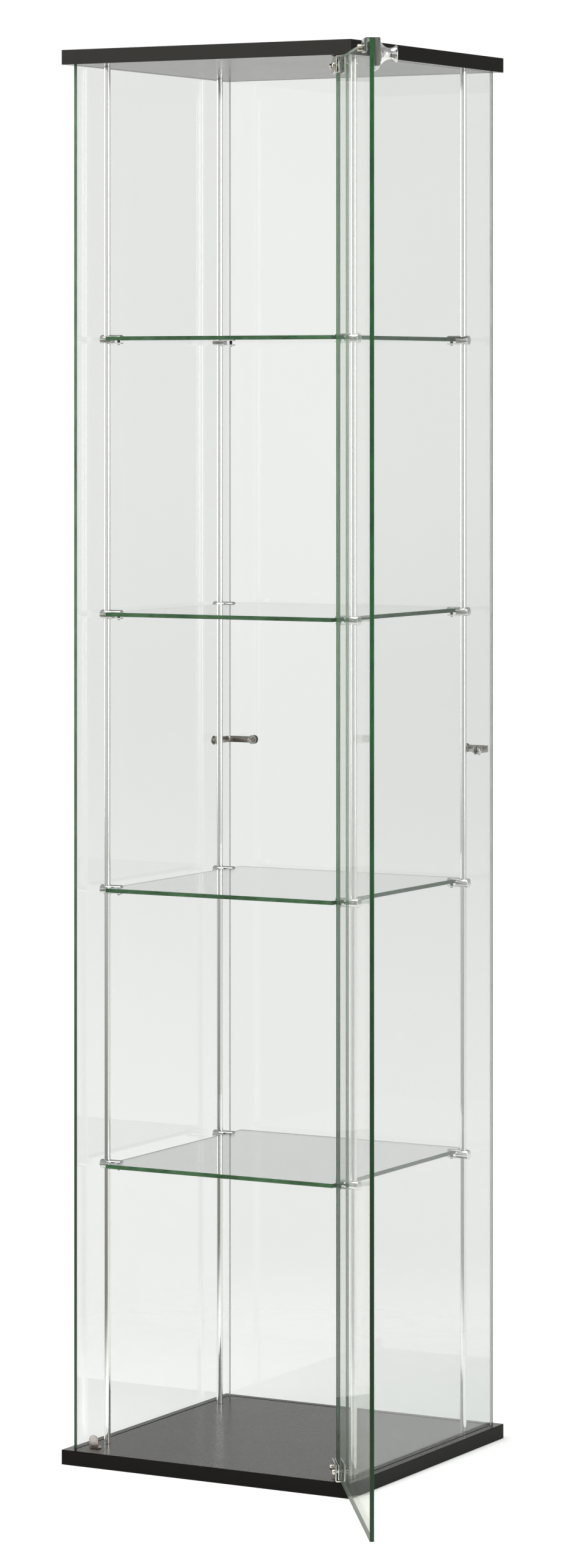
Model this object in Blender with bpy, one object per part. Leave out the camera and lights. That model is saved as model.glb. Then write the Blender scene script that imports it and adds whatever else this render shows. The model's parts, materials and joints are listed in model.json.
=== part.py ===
"""Glass display case: two boards, three fixed panes, four rods, four clipped shelves and a pivoting door.

Metres, +Z up. The origin is on the floor at the middle of the base board; -Y is the open front.
The door stands open, as it does when the case is being filled.
"""

import math

import bmesh
import bpy
from mathutils import Matrix, Vector

# Driving dimensions
FOOTPRINT = 0.400
HEIGHT = 1.720
BOARD = 0.018
BOARD_EDGE = 0.0005
FIT = 0.0003

PANE = 0.004
PANE_INSET = 0.010
PANE_FRONT = -0.187
GROOVE_DEPTH = 0.006

ROD_RADIUS = 0.004
ROD_BORE = 0.003
ROD_FRONT = (0.170, 0.142)
ROD_BACK = (0.1726, 0.1386)
BOLT_SHANK = 0.0025
BOLT_HEAD = (0.005, 0.0045)
BOLT_REACH = 0.016
BOLT_SINK = 0.006

SHELF = (0.316, 0.336, 0.005)
SHELF_CUT = 0.0015
SHELF_RISE = 0.0012
CLIP_LEVELS = (0.360, 0.696, 1.032, 1.368)
CLIP_RADIUS = 0.00575
CLIP_OUTER = 0.008
CLIP_INNER = 0.021
CLIP_SLOT_HALF = 0.0037
CLIP_SLOT_END = 0.008
SCREW_REACH = 0.0163
SCREW_RADIUS = 0.0017

STRAP_Z = HEIGHT / 2
STRAP = (0.008, 0.0015)
STRAP_HOLE = 0.035
STRAP_END = 0.0395
STRAP_BEND = 0.007
STRAP_SHANK = 0.0025
STRAP_WASHER = (0.0057, 0.0010)
STRAP_NUT = (0.0037, 0.0030)
STRAP_TIP = (0.0021, 0.0096)
STRAP_DOME = (0.0046, 0.0024)

DOOR = (0.363, 0.005)
DOOR_GAP = 0.0035
DOOR_OPEN = math.radians(124.5)
PIVOT = Vector((0.1695, -0.1803, 0.0))
PIVOT_BACK = 0.012
PIVOT_SIDE = 0.0037
PIN_RADIUS = 0.0025
BUSH = (0.005, 0.009)
BUSH_FLANGE = (0.0056, 0.0005)

CLAMP_CLEAR = 0.0011
CLAMP_LENGTH = 0.040
CLAMP_HEIGHT = 0.020
SHEET = 0.0015
CLAMP_OUTER = -0.0080
CLAMP_INNER = 0.0038
CLAMP_SCREWS = (0.0055, 0.0345)
CLAMP_SCREW_RISE = 0.011
GLASS_HOLE = 0.003

KNOB_PLATE = (0.028, 0.031, 0.0072)
KNOB_FROM_EDGE = 0.002
KNOB_LEG = (0.0025, 0.0034, 0.0160)
KNOB_BRIDGE = 0.0011
KNOB_LIP = (0.0062, 0.0060)
KNOB_LENGTH = 0.0193
KNOB_RADII = (0.0134, 0.0065, 0.0098)
KNOB_WAIST = 0.60
KNOB_DROP = 0.0020

STOP_X = -0.1675
STOP_WIDTH = 0.012
STOP_HEIGHT = 0.0166
STOP_FOOT = 0.0125
BUMPER = (0.0060, 0.0023)

ROUND = 24

INNER = FOOTPRINT / 2 - PANE_INSET - PANE
OUTER = FOOTPRINT / 2 - PANE_INSET
CEILING = HEIGHT - BOARD
CORNERS = {
    "front_left": (-1, -1),
    "front_right": (1, -1),
    "back_left": (-1, 1),
    "back_right": (1, 1),
}
GLASS_MIDDLE = -PIVOT_SIDE
GLASS_OUT = GLASS_MIDDLE - DOOR[1] / 2
GLASS_IN = GLASS_MIDDLE + DOOR[1] / 2


def rod_spot(side, end):
    """Where a rod stands; side and end are the signs of its x and y."""
    x, y = ROD_BACK if end > 0 else ROD_FRONT
    return side * x, end * y


def clear_scene():
    for obj in list(bpy.data.objects):
        bpy.data.objects.remove(obj, do_unlink=True)


def material(name, colour, roughness, metallic=0.0, alpha=1.0):
    made = bpy.data.materials.new(name)
    made.use_nodes = True
    shader = made.node_tree.nodes["Principled BSDF"]
    shader.inputs["Base Color"].default_value = (*colour, 1.0)
    shader.inputs["Roughness"].default_value = roughness
    shader.inputs["Metallic"].default_value = metallic
    shader.inputs["Alpha"].default_value = alpha
    made.diffuse_color = (*colour, alpha)
    return made


def add_box(bm, low, high):
    low = Vector(low)
    high = Vector(high)
    size = high - low
    place = Matrix.Translation((low + high) / 2) @ Matrix.Diagonal((*size, 1.0))
    bmesh.ops.create_cube(bm, size=1.0, matrix=place)


def add_prism(bm, outline, start, depth):
    """Extrudes a flat outline of 3-D points by the vector depth, from the offset start."""
    verts = [bm.verts.new(Vector(point) + Vector(start)) for point in outline]
    face = bm.faces.new(verts)
    extruded = bmesh.ops.extrude_face_region(bm, geom=[face])
    moved = [item for item in extruded["geom"] if isinstance(item, bmesh.types.BMVert)]
    bmesh.ops.translate(bm, verts=moved, vec=Vector(depth))


def add_turned(bm, profile, place=None, sides=ROUND, ring=False):
    """Turns a (radius, height) profile about Z; ring joins its last point to its first, as in a tube."""
    place = place or Matrix()
    rings = []
    for radius, height in profile:
        count = sides if radius > 0 else 1
        points = [
            place @ Vector((radius * math.cos(math.tau * i / count), radius * math.sin(math.tau * i / count), height))
            for i in range(count)
        ]
        rings.append([bm.verts.new(point) for point in points])
    pairs = list(zip(rings, rings[1:]))
    if ring:
        pairs.append((rings[-1], rings[0]))
    for low, high in pairs:
        for i in range(sides):
            j = (i + 1) % sides
            if len(low) == 1:
                bm.faces.new((low[0], high[j], high[i]))
            elif len(high) == 1:
                bm.faces.new((low[i], low[j], high[0]))
            else:
                bm.faces.new((low[i], low[j], high[j], high[i]))


def mesh_of(bm, name):
    bmesh.ops.recalc_face_normals(bm, faces=bm.faces)
    mesh = bpy.data.meshes.new(name)
    bm.to_mesh(mesh)
    bm.free()
    mesh.shade_smooth()
    mesh.set_sharp_from_angle(angle=math.radians(35))
    return mesh


def place_object(name, mesh, look, parent=None):
    obj = bpy.data.objects.new(name, mesh)
    bpy.context.scene.collection.objects.link(obj)
    if look and look.name not in mesh.materials:
        mesh.materials.append(look)
    obj.parent = parent
    return obj


def cutter(name, bm):
    obj = place_object(name, mesh_of(bm, name), None)
    obj.hide_render = True
    obj.display_type = "WIRE"
    return obj


def add_boolean(obj, other, operation="DIFFERENCE"):
    boolean = obj.modifiers.new(other.name, "BOOLEAN")
    boolean.operation = operation
    boolean.object = other
    return obj


def plain(name, build, look, parent=None):
    """An object whose mesh is what build adds to an empty bmesh."""
    bm = bmesh.new()
    build(bm)
    return place_object(name, mesh_of(bm, name), look, parent)


def along(axis, at):
    """A matrix that takes +Z to the given axis and the origin to the given point."""
    turn = Vector(axis).to_track_quat("Z", "Y").to_matrix().to_4x4()
    return Matrix.Translation(Vector(at)) @ turn


def rectangle_round_top(width, height, steps=12):
    """An upright outline in XZ with a half-round top, standing on Z = 0."""
    radius = width / 2
    outline = [(-radius, 0, 0), (radius, 0, 0)]
    for step in range(steps + 1):
        angle = math.pi * step / steps
        outline.append((radius * math.cos(angle), 0, height - radius + radius * math.sin(angle)))
    return outline


def make_board(name, inner_face, outward, look, extra_holes):
    """A foil-faced board whose inner face is at the height inner_face; outward is -1 for the base, 1 for the top."""
    half = FOOTPRINT / 2
    heights = sorted((inner_face, inner_face + outward * BOARD))
    board = plain(name, lambda bm: add_box(bm, (-half, -half, heights[0]), (half, half, heights[1])), look)
    bevel = board.modifiers.new("Edge", "BEVEL")
    bevel.width = BOARD_EDGE
    bevel.segments = 2

    bm = bmesh.new()
    wide = OUTER + FIT
    narrow = INNER - FIT
    front = PANE_FRONT - FIT
    groove = [
        (-wide, front, 0),
        (-narrow, front, 0),
        (-narrow, narrow, 0),
        (narrow, narrow, 0),
        (narrow, front, 0),
        (wide, front, 0),
        (wide, wide, 0),
        (-wide, wide, 0),
    ]
    overlap = 0.002
    add_prism(
        bm,
        groove,
        (0, 0, inner_face - outward * overlap),
        (0, 0, outward * (GROOVE_DEPTH + overlap)),
    )
    bolt_hole = [
        (0, -overlap),
        (BOLT_SHANK + FIT, -overlap),
        (BOLT_SHANK + FIT, BOARD - BOLT_SINK),
        (BOLT_HEAD[0] + 0.0005, BOARD - BOLT_SINK),
        (BOLT_HEAD[0] + 0.0005, BOARD + overlap),
        (0, BOARD + overlap),
    ]
    for side, end in CORNERS.values():
        add_turned(bm, bolt_hole, along((0, 0, outward), (*rod_spot(side, end), inner_face)), 16)
    for x, y, radius, depth in extra_holes:
        hole = [(0, -overlap), (radius, -overlap), (radius, depth), (0, depth)]
        add_turned(bm, hole, along((0, 0, outward), (x, y, inner_face)), 16)
    return add_boolean(board, cutter(name + "_cuts", bm))


def make_panes(look):
    low = BOARD - GROOVE_DEPTH + FIT
    high = CEILING + GROOVE_DEPTH - FIT
    hole = INNER - STRAP_HOLE

    def pierced(name, low_corner, high_corner, axis, holes):
        pane = plain(name, lambda bm: add_box(bm, low_corner, high_corner), look)
        bm = bmesh.new()
        for at in holes:
            radius = STRAP_SHANK + 0.0005
            drill = [(0, -0.02), (radius, -0.02), (radius, 0.02), (0, 0.02)]
            add_turned(bm, drill, along(axis, at), 16)
        add_boolean(pane, cutter(name + "_holes", bm))

    middle = (INNER + OUTER) / 2
    for name, side in (("left_pane", -1), ("right_pane", 1)):
        xs = sorted((side * INNER, side * OUTER))
        pierced(
            name,
            (xs[0], PANE_FRONT, low),
            (xs[1], OUTER, high),
            (1, 0, 0),
            [(side * middle, hole, STRAP_Z)],
        )
    pierced(
        "back_pane",
        (FIT - INNER, INNER, low),
        (INNER - FIT, OUTER, high),
        (0, 1, 0),
        [(side * hole, middle, STRAP_Z) for side in (-1, 1)],
    )


def make_rods(rod_look, bolt_look):
    tube = [
        (ROD_BORE, BOARD + FIT),
        (ROD_RADIUS, BOARD + FIT),
        (ROD_RADIUS, CEILING - FIT),
        (ROD_BORE, CEILING - FIT),
    ]
    head_radius, head_height = BOLT_HEAD
    head_seat = BOARD - BOLT_SINK
    bolt = [
        (0, -BOLT_REACH),
        (BOLT_SHANK, -BOLT_REACH),
        (BOLT_SHANK, head_seat + FIT),
        (head_radius, head_seat + FIT),
        (head_radius, head_seat + head_height * 0.8),
        (head_radius * 0.9, head_seat + head_height),
        (0, head_seat + head_height),
    ]
    for corner, (side, end) in CORNERS.items():
        x, y = rod_spot(side, end)
        rod_place = Matrix.Translation((x, y, 0))
        plain("rod_" + corner, lambda bm: add_turned(bm, tube, rod_place, ring=True), rod_look)
        for board, face, outward in (("base", BOARD, -1), ("top", CEILING, 1)):
            place = along((0, 0, outward), (x, y, face))
            plain(f"{board}_bolt_{corner}", lambda bm: add_turned(bm, bolt, place, 12), bolt_look)


def make_shelf(name, level, look):
    """A shelf with small safety cuts at its corners, gripped near the top of the clips' slots."""
    half_x = SHELF[0] / 2
    half_y = SHELF[1] / 2
    outline = []
    for side, end in ((-1, -1), (1, -1), (1, 1), (-1, 1)):
        along_x = (side * (half_x - SHELF_CUT), end * half_y, 0)
        along_y = (side * half_x, end * (half_y - SHELF_CUT), 0)
        outline += [along_y, along_x] if side * end > 0 else [along_x, along_y]
    bottom = level + SHELF_RISE - SHELF[2] / 2
    plain(name, lambda bm: add_prism(bm, outline, (0, 0, bottom), (0, 0, SHELF[2])), look)


def clip_mesh(look):
    """A turned clip on the +X axis: rod hole at the origin, shelf slot towards -X, set screw from below."""
    turned = [(0, -CLIP_INNER), (CLIP_RADIUS, -CLIP_INNER), (CLIP_RADIUS, CLIP_OUTER), (0, CLIP_OUTER)]
    body = plain("clip_body", lambda bm: add_turned(bm, turned, along((1, 0, 0), (0, 0, 0)), 20), look)
    bm = bmesh.new()
    rod_hole = [(0, -0.02), (ROD_RADIUS + FIT, -0.02), (ROD_RADIUS + FIT, 0.02), (0, 0.02)]
    add_turned(bm, rod_hole, sides=20)
    add_box(bm, (-0.04, -0.02, -CLIP_SLOT_HALF), (-CLIP_SLOT_END, 0.02, CLIP_SLOT_HALF))
    cuts = cutter("clip_cuts", bm)
    add_boolean(body, cuts)
    shelf_bottom = SHELF_RISE - SHELF[2] / 2
    screw = [
        (0, -CLIP_RADIUS - 0.0006),
        (SCREW_RADIUS, -CLIP_RADIUS - 0.0002),
        (SCREW_RADIUS, shelf_bottom - FIT),
        (0, shelf_bottom - FIT),
    ]
    screw_place = Matrix.Translation((-SCREW_REACH, 0, 0))
    screw_object = plain("clip_screw", lambda bm: add_turned(bm, screw, screw_place, 10), look)
    add_boolean(body, screw_object, "UNION")
    bpy.context.view_layer.update()
    graph = bpy.context.evaluated_depsgraph_get()
    mesh = bpy.data.meshes.new_from_object(body.evaluated_get(graph))
    mesh.name = "shelf_clip"
    for helper in (body, cuts, screw_object):
        bpy.data.objects.remove(helper, do_unlink=True)
    return mesh


def make_shelves(glass_look, clip_look):
    mesh = clip_mesh(clip_look)
    for number, level in enumerate(CLIP_LEVELS, 1):
        make_shelf(f"shelf_{number}", level, glass_look)
        for corner, (side, end) in CORNERS.items():
            clip = place_object(f"clip_{number}_{corner}", mesh, clip_look)
            clip.location = (*rod_spot(side, end), level)
            clip.rotation_euler.z = 0 if side > 0 else math.pi


def make_straps(strap_look, screw_look):
    """Bent straps inside the rear corners, each screwed through the side pane and the back pane."""
    half_height = STRAP[0] / 2
    thick = STRAP[1]
    face = INNER - FIT
    for name, side in (("left", -1), ("right", 1)):
        outline = []
        for offset in (0, thick):
            run = [(face - offset, INNER - STRAP_END, 0)]
            for step in range(5):
                angle = math.pi / 2 * step / 4
                reach = STRAP_BEND - offset
                centre = face - STRAP_BEND
                run.append((centre + reach * math.cos(angle), centre + reach * math.sin(angle), 0))
            run.append((INNER - STRAP_END, face - offset, 0))
            outline += run if offset == 0 else run[::-1]
        outline = [(side * x, y, z) for x, y, z in outline]
        start = (0, 0, STRAP_Z - half_height)
        strap = plain(
            f"corner_strap_{name}",
            lambda bm: add_prism(bm, outline, start, (0, 0, STRAP[0])),
            strap_look,
        )
        hole = INNER - STRAP_HOLE
        bm = bmesh.new()
        radius = STRAP_SHANK + FIT
        drill = [(0, -0.006), (radius, -0.006), (radius, 0.006), (0, 0.006)]
        add_turned(bm, drill, along((1, 0, 0), (side * INNER, hole, STRAP_Z)), 12)
        add_turned(bm, drill, along((0, 1, 0), (side * hole, INNER, STRAP_Z)), 12)
        add_boolean(strap, cutter(f"strap_holes_{name}", bm))

        inside = -(thick + 2 * FIT)
        outside = PANE + FIT
        for wall, axis, at in (
            ("side", (side, 0, 0), (side * INNER, hole, STRAP_Z)),
            ("rear", (0, 1, 0), (side * hole, INNER, STRAP_Z)),
        ):
            place = along(axis, at)
            ends = nut_end(inside, -1) + dome_end(outside, 1)[::-1]
            plain(f"strap_screw_{name}_{wall}", lambda bm: add_turned(bm, ends, place, 16), screw_look)


def dome_end(seat, outward):
    """Half of a screw's outline, from its tip inwards: a domed head on a washer at the height seat."""
    washer_radius, washer = STRAP_WASHER
    radius, rise = STRAP_DOME
    heights = [(0, washer + rise), (radius * 0.6, washer + rise * 0.86), (radius * 0.92, washer + rise * 0.45)]
    heights += [(radius, washer), (washer_radius, washer), (washer_radius, 0), (STRAP_SHANK, 0)]
    return [(reach, seat + outward * height) for reach, height in heights]


def nut_end(seat, outward):
    """A washer, a nut and the screw's tip standing out of it."""
    washer_radius, washer = STRAP_WASHER
    nut_radius, nut = STRAP_NUT
    tip_radius, tip = STRAP_TIP
    heights = [(0, tip), (tip_radius - 0.0004, tip), (tip_radius, tip - 0.0005), (tip_radius, washer + nut)]
    heights += [(nut_radius, washer + nut), (nut_radius, washer), (washer_radius, washer), (washer_radius, 0)]
    return [(reach, seat + outward * height) for reach, height in heights + [(STRAP_SHANK, 0)]]


def make_bushes(look):
    radius, depth = BUSH
    flange_radius, flange = BUSH_FLANGE
    bore = PIN_RADIUS + FIT
    profile = [
        (bore, -flange),
        (flange_radius, -flange),
        (flange_radius, -FIT),
        (radius, -FIT),
        (radius, depth - FIT),
        (bore, depth - FIT),
    ]
    for name, face, outward in (("pivot_bush_bottom", BOARD, -1), ("pivot_bush_top", CEILING, 1)):
        place = along((0, 0, outward), (PIVOT.x, PIVOT.y, face))
        plain(name, lambda bm: add_turned(bm, profile, place, 20, ring=True), look)


def make_stop(bracket_look, bumper_look, screw_look):
    """An angle bracket on the base with a soft bumper that the closed door's inner face meets."""
    door_face = PIVOT.y + GLASS_IN
    bumper_front = door_face + FIT
    upright_front = bumper_front + BUMPER[1] + FIT
    floor = BOARD + FIT
    thick = SHEET

    def bracket(bm):
        upright = rectangle_round_top(STOP_WIDTH, STOP_HEIGHT)
        add_prism(bm, upright, (STOP_X, upright_front, floor), (0, thick, 0))

    upright = plain("stop_bracket", bracket, bracket_look)
    foot_bm = bmesh.new()
    radius = STOP_WIDTH / 2
    foot = [(-radius, 0, 0), (radius, 0, 0)]
    for step in range(9):
        angle = math.pi * step / 8
        foot.append((radius * math.cos(angle), STOP_FOOT - radius + radius * math.sin(angle), 0))
    add_prism(foot_bm, foot, (STOP_X, upright_front + thick / 2, floor), (0, 0, thick))
    add_boolean(upright, cutter("stop_foot", foot_bm), "UNION")
    screw_y = upright_front + thick / 2 + STOP_FOOT - radius
    hole_bm = bmesh.new()
    add_turned(
        hole_bm,
        [(0, 0), (0.0020, 0), (0.0020, 0.005), (0, 0.005)],
        Matrix.Translation((STOP_X, screw_y, BOARD - 0.001)),
        12,
    )
    add_boolean(upright, cutter("stop_foot_hole", hole_bm))

    top = floor + thick + FIT
    screw = [
        (0, -0.010),
        (0.0015, -0.0085),
        (0.0015, 0),
        (0.0034, 0),
        (0.0034, 0.0008),
        (0.0022, 0.0018),
        (0, 0.0021),
    ]
    screw_place = Matrix.Translation((STOP_X, screw_y, top))
    plain("stop_screw", lambda bm: add_turned(bm, screw, screw_place, 12), screw_look)

    bumper_radius, bumper_thick = BUMPER
    cushion = [
        (0, 0),
        (bumper_radius * 0.82, 0),
        (bumper_radius, bumper_thick * 0.45),
        (bumper_radius, bumper_thick),
        (0, bumper_thick),
    ]
    centre = (STOP_X, bumper_front, floor + STOP_HEIGHT - bumper_radius)
    plain("stop_bumper", lambda bm: add_turned(bm, cushion, along((0, 1, 0), centre), 20), bumper_look)
    return screw_y


def door_to_local(from_hinge_edge, across, height):
    """A point of the shut door, relative to the pivot: metres from the hinge edge, from the pin's plane, and up."""
    return Vector((PIVOT_BACK - from_hinge_edge, across, height))


def make_door(pivot, looks):
    width = DOOR[0]
    low = BOARD + DOOR_GAP
    high = CEILING - DOOR_GAP
    pane = plain(
        "door_pane",
        lambda bm: add_box(bm, door_to_local(width, GLASS_OUT, low), door_to_local(0, GLASS_IN, high)),
        looks["glass"],
        pivot,
    )
    bm = bmesh.new()
    for level in (low, high):
        inward = 1 if level == low else -1
        for place in CLAMP_SCREWS:
            at = door_to_local(place, GLASS_MIDDLE, clamp_base(inward) + inward * CLAMP_SCREW_RISE)
            drill = [(0, -0.01), (GLASS_HOLE, -0.01), (GLASS_HOLE, 0.01), (0, 0.01)]
            add_turned(bm, drill, along((0, 1, 0), at), 12)
    holes = cutter("door_holes", bm)
    holes.parent = pivot
    add_boolean(pane, holes)
    for name, inward in (("bottom", 1), ("top", -1)):
        make_hinge(name, inward, pivot, looks)
    make_knob(high, pivot, looks)


def clamp_base(inward):
    """Height of the hinge clamp's outer sheet face; inward is 1 at the base and -1 under the top."""
    return BOARD + CLAMP_CLEAR if inward > 0 else CEILING - CLAMP_CLEAR


def make_hinge(name, inward, pivot, looks):
    """A folded U of sheet round the door's corner, its pin, pressure plate and two through screws."""
    base = clamp_base(inward)
    corner = SHEET * 1.4
    steps = 3
    outline = [(0, CLAMP_OUTER, CLAMP_HEIGHT)]
    for centre_y, start in ((CLAMP_OUTER + corner, math.pi), (CLAMP_INNER - corner, math.pi * 1.5)):
        for step in range(steps + 1):
            angle = start + math.pi / 2 * step / steps
            outline.append((0, centre_y + corner * math.cos(angle), corner + corner * math.sin(angle)))
    outline += [
        (0, CLAMP_INNER, CLAMP_HEIGHT),
        (0, CLAMP_INNER - SHEET, CLAMP_HEIGHT),
        (0, CLAMP_INNER - SHEET, SHEET),
        (0, CLAMP_OUTER + SHEET, SHEET),
        (0, CLAMP_OUTER + SHEET, CLAMP_HEIGHT),
    ]
    outline = [(x, y, base + inward * z) for x, y, z in outline]
    start = door_to_local(CLAMP_LENGTH, 0, 0)
    clamp = plain(
        f"hinge_clamp_{name}",
        lambda bm: add_prism(bm, outline, start, (CLAMP_LENGTH, 0, 0)),
        looks["clamp"],
        pivot,
    )
    pin = [(0, -0.0082), (PIN_RADIUS * 0.8, -0.0082), (PIN_RADIUS, -0.0076), (PIN_RADIUS, SHEET / 2), (0, SHEET / 2)]
    pin_bm = bmesh.new()
    add_turned(pin_bm, pin, along((0, 0, inward), (0, 0, base)), 16)
    pin_object = cutter(f"hinge_pin_{name}", pin_bm)
    hole_bm = bmesh.new()
    screw_height = base + inward * CLAMP_SCREW_RISE
    hole_radius = 0.0020
    for place in CLAMP_SCREWS:
        drill = [(0, -0.02), (hole_radius, -0.02), (hole_radius, 0.02), (0, 0.02)]
        add_turned(hole_bm, drill, along((0, 1, 0), door_to_local(place, 0, screw_height)), 12)
    holes = cutter(f"hinge_holes_{name}", hole_bm)
    for helper in (pin_object, holes):
        helper.parent = pivot
    add_boolean(clamp, pin_object, "UNION")
    add_boolean(clamp, holes)

    plate_low = door_to_local(CLAMP_LENGTH, GLASS_IN + FIT, base + inward * 0.0025)
    plate_high = door_to_local(0, GLASS_IN + FIT + 0.0013, base + inward * CLAMP_HEIGHT)
    low = [min(a, b) for a, b in zip(plate_low, plate_high)]
    high = [max(a, b) for a, b in zip(plate_low, plate_high)]
    plate = plain(f"hinge_plate_{name}", lambda bm: add_box(bm, low, high), looks["plate"], pivot)
    add_boolean(plate, holes)

    head_seat = CLAMP_INNER + FIT
    tip = CLAMP_OUTER - 0.0032
    screw = [
        (0, tip),
        (0.0011, tip),
        (0.0016, tip + 0.0006),
        (0.0016, head_seat),
        (0.0034, head_seat),
        (0.0034, head_seat + 0.0020),
        (0.0024, head_seat + 0.0032),
        (0, head_seat + 0.0036),
    ]
    for number, place in enumerate(CLAMP_SCREWS, 1):
        at = along((0, 1, 0), door_to_local(place, 0, screw_height))
        plain(f"hinge_screw_{name}_{number}", lambda bm: add_turned(bm, screw, at, 12), looks["screw"], pivot)


def make_knob(glass_top, pivot, looks):
    """A C-shaped clamp over the glass's top edge, with a waisted knob outside and a clamp screw inside."""
    length, height, plate = KNOB_PLATE
    leg_gap, leg_thick, leg_height = KNOB_LEG
    bridge_low = glass_top + FIT
    bridge_high = bridge_low + KNOB_BRIDGE
    outer = GLASS_OUT - FIT
    inner = GLASS_IN + leg_gap
    free_edge = DOOR[0] - KNOB_FROM_EDGE
    corner = 0.0022
    lip, drop = KNOB_LIP
    foot = bridge_high - height
    profile = [(outer - plate, foot), (outer - lip, foot), (outer - lip, foot - drop * 0.35)]
    profile += [(outer - lip * 0.84, foot - drop * 0.68), (outer - lip * 0.55, foot - drop * 0.92)]
    profile += [(outer - lip * 0.25, foot - drop), (outer, foot - drop), (outer, bridge_low)]
    profile += [(inner, bridge_low), (inner, bridge_high - leg_height)]
    profile += [(inner + leg_thick, bridge_high - leg_height)]
    for step in range(5):
        angle = math.pi / 2 * step / 4
        profile.append(
            (
                inner + leg_thick - corner + corner * math.cos(angle),
                bridge_high - corner + corner * math.sin(angle),
            )
        )
    profile.append((outer - plate + 0.001, bridge_high))
    profile.append((outer - plate, bridge_high - 0.001))
    outline = [(0, y, z) for y, z in profile]
    start = door_to_local(free_edge, 0, 0)
    clamp = plain("knob_clamp", lambda bm: add_prism(bm, outline, start, (length, 0, 0)), looks["chrome"], pivot)
    screw_height = bridge_high - 0.011
    middle = free_edge - length / 2
    bm = bmesh.new()
    drill = [(0, 0), (0.0022, 0), (0.0022, 0.02), (0, 0.02)]
    add_turned(bm, drill, along((0, 1, 0), door_to_local(middle, GLASS_IN, screw_height)), 12)
    hole = cutter("knob_clamp_hole", bm)
    hole.parent = pivot
    add_boolean(clamp, hole)

    tip = GLASS_IN + FIT
    seat = inner + leg_thick + FIT
    screw = [
        (0, tip),
        (0.0019, tip),
        (0.0019, seat),
        (0.0041, seat),
        (0.0041, seat + 0.0052),
        (0.0036, seat + 0.0058),
        (0, seat + 0.0058),
    ]
    at = along((0, 1, 0), door_to_local(middle, 0, screw_height))
    plain("knob_screw", lambda bm: add_turned(bm, screw, at, 16), looks["brass"], pivot)

    base_radius, waist_radius, end_radius = KNOB_RADII
    steps = 12
    knob = [(0, 0)]
    for step in range(steps + 1):
        share = step / steps
        if share < KNOB_WAIST:
            flare = (1 - share / KNOB_WAIST) ** 2.2
            radius = waist_radius + (base_radius - waist_radius) * flare
        else:
            flare = ((share - KNOB_WAIST) / (1 - KNOB_WAIST)) ** 2
            radius = waist_radius + (end_radius - waist_radius) * flare
        knob.append((radius, KNOB_LENGTH * (0.05 + 0.92 * share)))
    knob.append((end_radius - 0.0012, KNOB_LENGTH))
    knob.append((0, KNOB_LENGTH + 0.0004))
    centre_height = bridge_high - height / 2 - KNOB_DROP
    face = outer - plate - FIT
    at = along((0, -1, 0), door_to_local(middle, face, centre_height))
    plain("knob", lambda bm: add_turned(bm, knob, at, 28), looks["chrome"], pivot)


def main():
    clear_scene()
    foil = material("black_brown_foil", (0.020, 0.018, 0.016), 0.38)
    pane = material("side_glass", (0.78, 0.86, 0.83), 0.04, alpha=0.30)
    shelf_glass = material("shelf_glass", (0.70, 0.84, 0.78), 0.04, alpha=0.35)
    door_glass = material("door_glass", (0.74, 0.85, 0.80), 0.04, alpha=0.32)
    chrome = material("rod_chrome", (0.82, 0.82, 0.80), 0.10, 1.0)
    clip_chrome = material("clip_chrome", (0.78, 0.80, 0.78), 0.14, 1.0)
    zinc = material("zinc_steel", (0.62, 0.61, 0.58), 0.32, 1.0)
    nickel = material("warm_nickel", (0.66, 0.60, 0.52), 0.28, 1.0)
    brass = material("pale_brass", (0.74, 0.66, 0.44), 0.26, 1.0)
    nylon = material("pivot_nylon", (0.70, 0.70, 0.67), 0.50)
    soft = material("clear_rubber", (0.80, 0.76, 0.76), 0.30)

    stop_screw_y = make_stop(nickel, soft, zinc)
    bush_hole = (PIVOT.x, PIVOT.y, BUSH[0] + FIT, BUSH[1] + FIT)
    stop_hole = (STOP_X, stop_screw_y, 0.0018, 0.011)
    make_board("base_panel", BOARD, -1, foil, [bush_hole, stop_hole])
    make_board("top_panel", CEILING, 1, foil, [bush_hole])
    make_panes(pane)
    make_rods(chrome, zinc)
    make_shelves(shelf_glass, clip_chrome)
    make_straps(zinc, zinc)
    make_bushes(nylon)

    pivot = bpy.data.objects.new("door_pivot", None)
    bpy.context.scene.collection.objects.link(pivot)
    pivot.location = PIVOT
    pivot.rotation_euler.z = DOOR_OPEN
    looks = {
        "glass": door_glass,
        "clamp": nickel,
        "plate": zinc,
        "screw": nickel,
        "chrome": chrome,
        "brass": brass,
    }
    make_door(pivot, looks)


main()
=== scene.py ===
# Glass display case: finishes, fine hardware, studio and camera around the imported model.
import json
import math

import bmesh
import bpy
from mathutils import Matrix, Vector

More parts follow.
